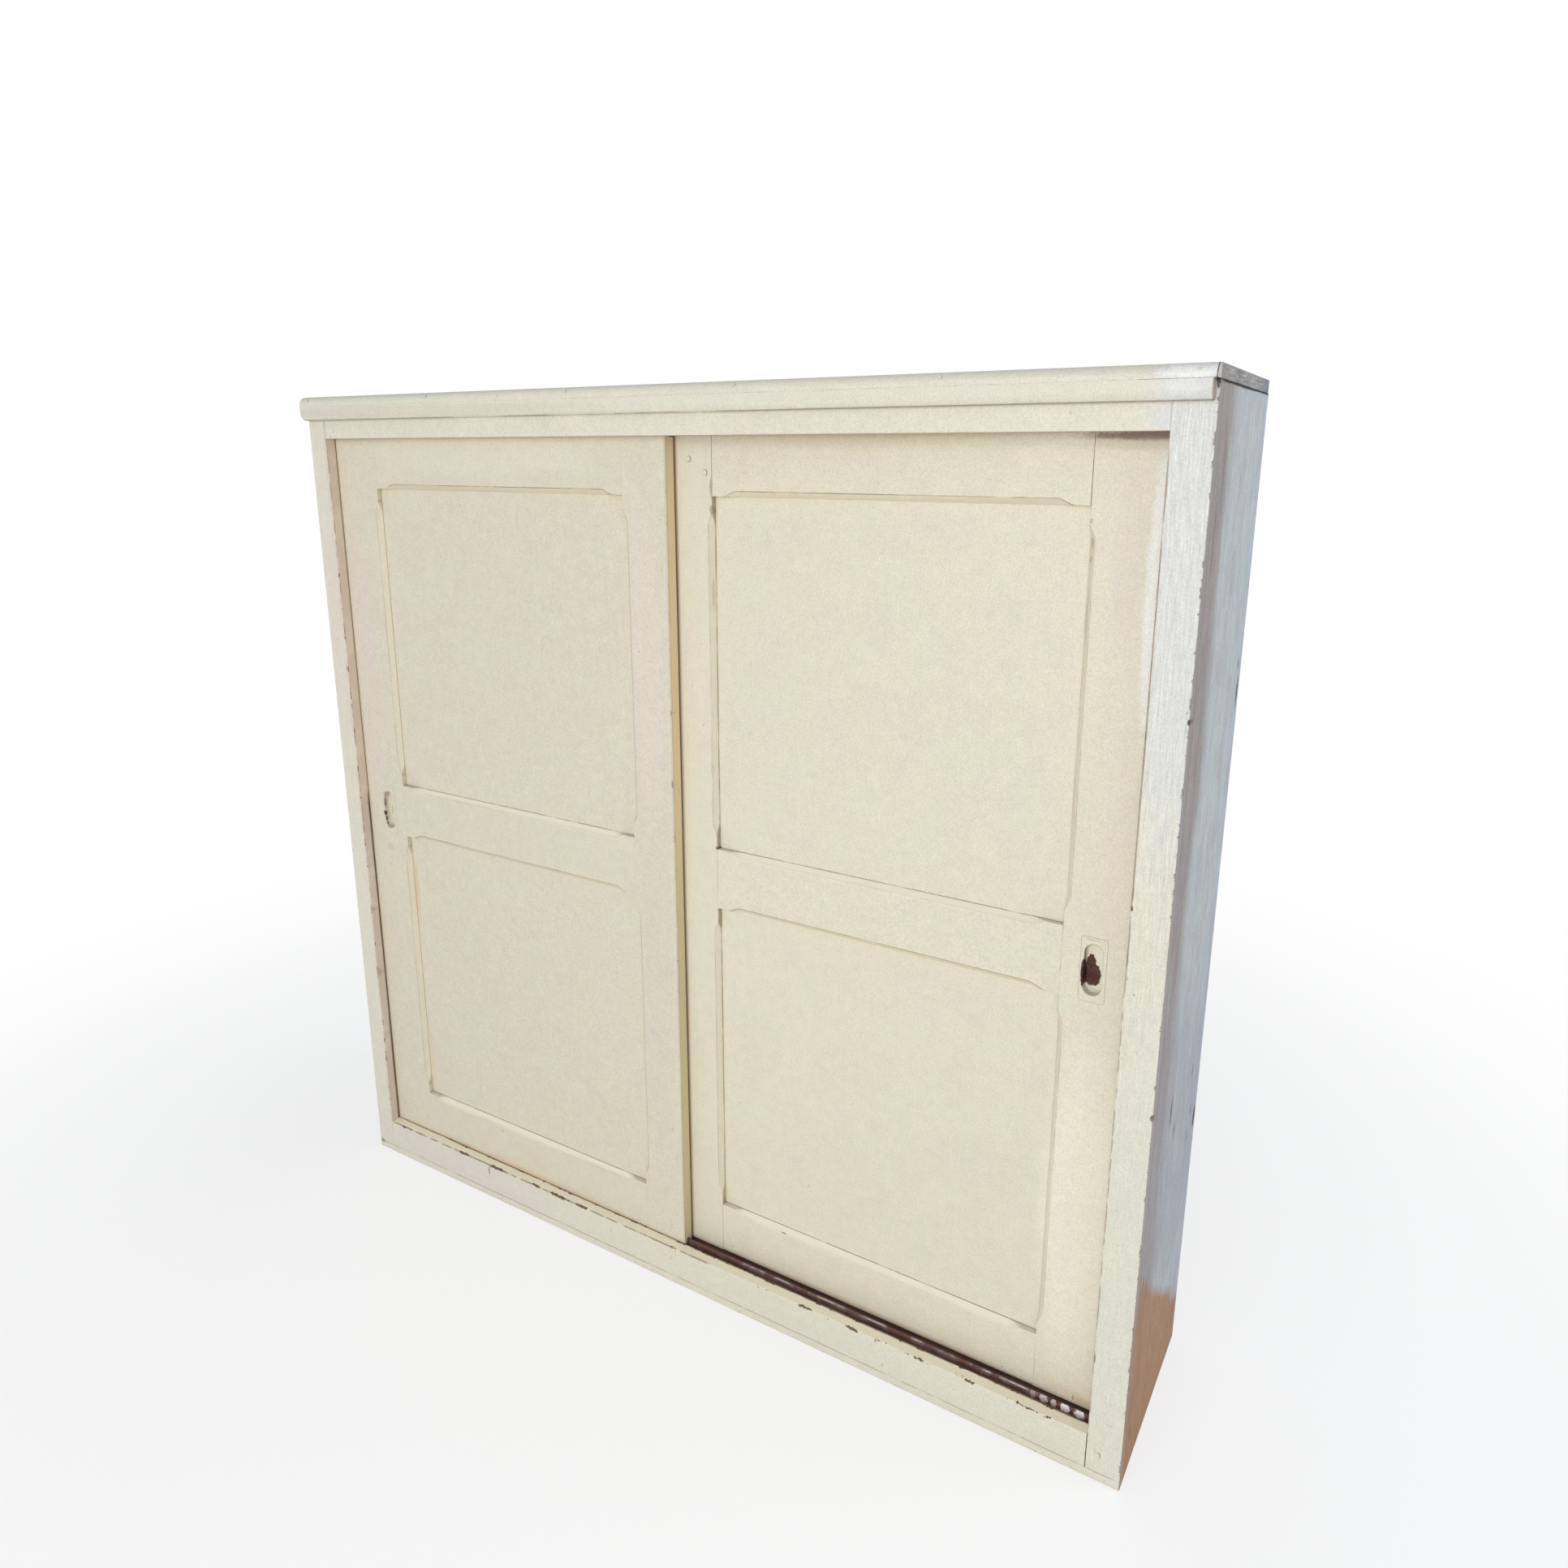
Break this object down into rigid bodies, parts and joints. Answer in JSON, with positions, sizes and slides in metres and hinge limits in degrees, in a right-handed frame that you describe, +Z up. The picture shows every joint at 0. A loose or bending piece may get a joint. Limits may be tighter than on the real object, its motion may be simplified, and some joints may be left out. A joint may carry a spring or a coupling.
{
  "type": "sliding door cabinet",
  "caption": "Wide, shallow painted wooden cabinet whose frame-and-panel doors slide past each other on rails, with shelves behind them.",
  "frame": {"origin": "on the floor, below the middle of the cabinet's bounding box", "axes": "+X to the right as one faces the doors, +Y to the back, +Z up"},
  "size_m": [1.6, 0.356, 1.56],
  "materials": {
    "cream_paint": "worn cream paint",
    "worn_top": "worn, grey-brown",
    "bare_pine": "bare, aged",
    "track_steel": "worn bright on its crown",
    "dark_iron": "dark, satin",
    "dull_brass": "dull"
  },
  "bodies": {
    "carcass": {"side_panel_left": "cream_paint", "side_panel_right": "cream_paint", "top_board": "worn_top", "top_lipping": "cream_paint", "bed_mould": "cream_paint", "face_stile_left": "cream_paint", "face_stile_right": "cream_paint", "face_top_rail": "cream_paint", "face_bottom_rail": "cream_paint", "base_strip": "cream_paint", "sill_board": "bare_pine", "bottom_board": "cream_paint", "front_track": "track_steel", "rear_track": "track_steel", "head_rail": "bare_pine", "parting_bead": "bare_pine", "rear_guide_bead": "bare_pine", "centre_partition": "bare_pine", "shelf_left_1": "bare_pine", "batten_left_1a": "bare_pine", "batten_left_1b": "bare_pine", "shelf_left_2": "bare_pine", "batten_left_2a": "bare_pine", "batten_left_2b": "bare_pine", "shelf_right_1": "bare_pine", "batten_right_1a": "bare_pine", "batten_right_1b": "bare_pine", "shelf_right_2": "bare_pine", "batten_right_2a": "bare_pine", "batten_right_2b": "bare_pine", "back_board_1": "bare_pine", "back_board_2": "bare_pine", "back_board_3": "bare_pine", "back_board_4": "bare_pine", "back_board_5": "bare_pine", "back_board_6": "bare_pine"},
    "front_door": {"front_door_outer_stile": "cream_paint", "front_door_meeting_stile": "cream_paint", "front_door_top_rail": "cream_paint", "front_door_mid_rail": "cream_paint", "front_door_bottom_rail": "cream_paint", "front_door_upper_panel": "cream_paint", "front_door_lower_panel": "cream_paint", "front_door_flush_pull": "dark_iron", "front_door_sheave_a": "dark_iron", "front_door_sheave_b": "dark_iron"},
    "front_door_wheel_a": {"front_door_wheel_a": "dull_brass"},
    "front_door_wheel_b": {"front_door_wheel_b": "dull_brass"},
    "rear_door": {"rear_door_outer_stile": "cream_paint", "rear_door_meeting_stile": "cream_paint", "rear_door_top_rail": "cream_paint", "rear_door_mid_rail": "cream_paint", "rear_door_bottom_rail": "cream_paint", "rear_door_upper_panel": "cream_paint", "rear_door_lower_panel": "cream_paint", "rear_door_flush_pull": "dark_iron", "rear_door_sheave_a": "dark_iron", "rear_door_sheave_b": "dark_iron"},
    "rear_door_wheel_a": {"rear_door_wheel_a": "dull_brass"},
    "rear_door_wheel_b": {"rear_door_wheel_b": "dull_brass"}
  },
  "joints": [
    {"name": "front_door_slide", "type": "slide", "parent": "carcass", "child": "front_door", "axis": [1, 0, 0], "range_m": [0, 0.773]},
    {"name": "front_door_wheel_a_spin", "type": "hinge", "parent": "front_door", "child": "front_door_wheel_a", "pos_m": [-0.583, -0.1305, 0.0878], "axis": [0, 1, 0], "range_deg": [0, 3852]},
    {"name": "front_door_wheel_b_spin", "type": "hinge", "parent": "front_door", "child": "front_door_wheel_b", "pos_m": [-0.149, -0.1305, 0.0878], "axis": [0, 1, 0], "range_deg": [0, 3852]},
    {"name": "rear_door_slide", "type": "slide", "parent": "carcass", "child": "rear_door", "axis": [1, 0, 0], "range_m": [-0.767, 0]},
    {"name": "rear_door_wheel_a_spin", "type": "hinge", "parent": "rear_door", "child": "rear_door_wheel_a", "pos_m": [0.58, -0.1045, 0.0878], "axis": [0, 1, 0], "range_deg": [-3822, 0]},
    {"name": "rear_door_wheel_b_spin", "type": "hinge", "parent": "rear_door", "child": "rear_door_wheel_b", "pos_m": [0.143, -0.1045, 0.0878], "axis": [0, 1, 0], "range_deg": [-3822, 0]}
  ],
  "couplings": [
    {"joint": "front_door_wheel_a_spin", "follows": "front_door_slide", "rad_per_m": 86.957},
    {"joint": "front_door_wheel_b_spin", "follows": "front_door_slide", "rad_per_m": 86.957},
    {"joint": "rear_door_wheel_a_spin", "follows": "rear_door_slide", "rad_per_m": 86.957},
    {"joint": "rear_door_wheel_b_spin", "follows": "rear_door_slide", "rad_per_m": 86.957}
  ]
}
